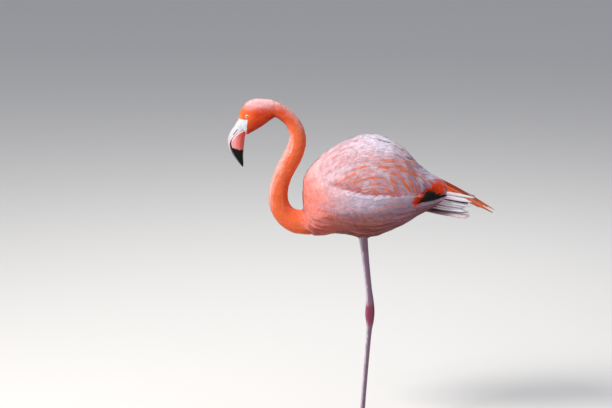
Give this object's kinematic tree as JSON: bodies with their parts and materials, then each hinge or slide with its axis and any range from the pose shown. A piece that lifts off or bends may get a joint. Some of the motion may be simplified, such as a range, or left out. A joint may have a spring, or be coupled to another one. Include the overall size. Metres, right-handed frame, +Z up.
{
  "type": "american flamingo",
  "caption": "Standing flamingo on one leg, neck in an S with the bill pointing down, the other leg folded up along the flank, wings closed.",
  "frame": {"origin": "on the floor, under the middle of the bird's bounding box", "axes": "+Z up, -Y the way the bird faces, +X its left side"},
  "size_m": [0.2076, 0.6656, 0.8532],
  "materials": {
    "head_feathers": "short dense orange-red feathers",
    "neck_feathers": "short soft salmon-orange feathers",
    "body_feathers": "soft loose salmon-pink contour feathers",
    "wing_feathers": "pale pink coverts and long feathers with orange streaks",
    "plume": "long smooth orange feathers",
    "flight_feathers": "satin black flight feathers",
    "bill_upper": "smooth cream horn with a black tip",
    "bill_lower": "smooth pink horn with a black tip",
    "eye": "wet, pale yellow iris with a dark pupil",
    "leg_skin": "dry scaled mauve-pink skin",
    "ankle_skin": "dry scaled crimson skin",
    "claw": "dark worn horn"
  },
  "bodies": {
    "root": {"head": "head_feathers", "neck_upper": "neck_feathers", "neck_middle": "neck_feathers", "neck_lower": "neck_feathers", "trunk": "body_feathers", "wing_left": "wing_feathers", "wing_right": "wing_feathers", "tertials_left": "wing_feathers", "tertials_right": "wing_feathers", "tail": "wing_feathers", "plume_left": "plume", "plume_right": "plume", "primaries_left": "flight_feathers", "primaries_right": "flight_feathers", "bill_upper": "bill_upper", "bill_lower": "bill_lower", "eye_left": "eye", "eye_right": "eye", "tibia_left": "leg_skin", "tarsus_left": "leg_skin", "foot_left": "leg_skin", "tibia_right": "leg_skin", "tarsus_right": "leg_skin", "foot_right": "leg_skin", "ankle_left": "ankle_skin", "ankle_right": "ankle_skin", "claw_left_outer": "claw", "claw_left_middle": "claw", "claw_left_inner": "claw", "claw_left_hind": "claw", "claw_right_outer": "claw", "claw_right_middle": "claw", "claw_right_inner": "claw", "claw_right_hind": "claw"}
  },
  "joints": []
}
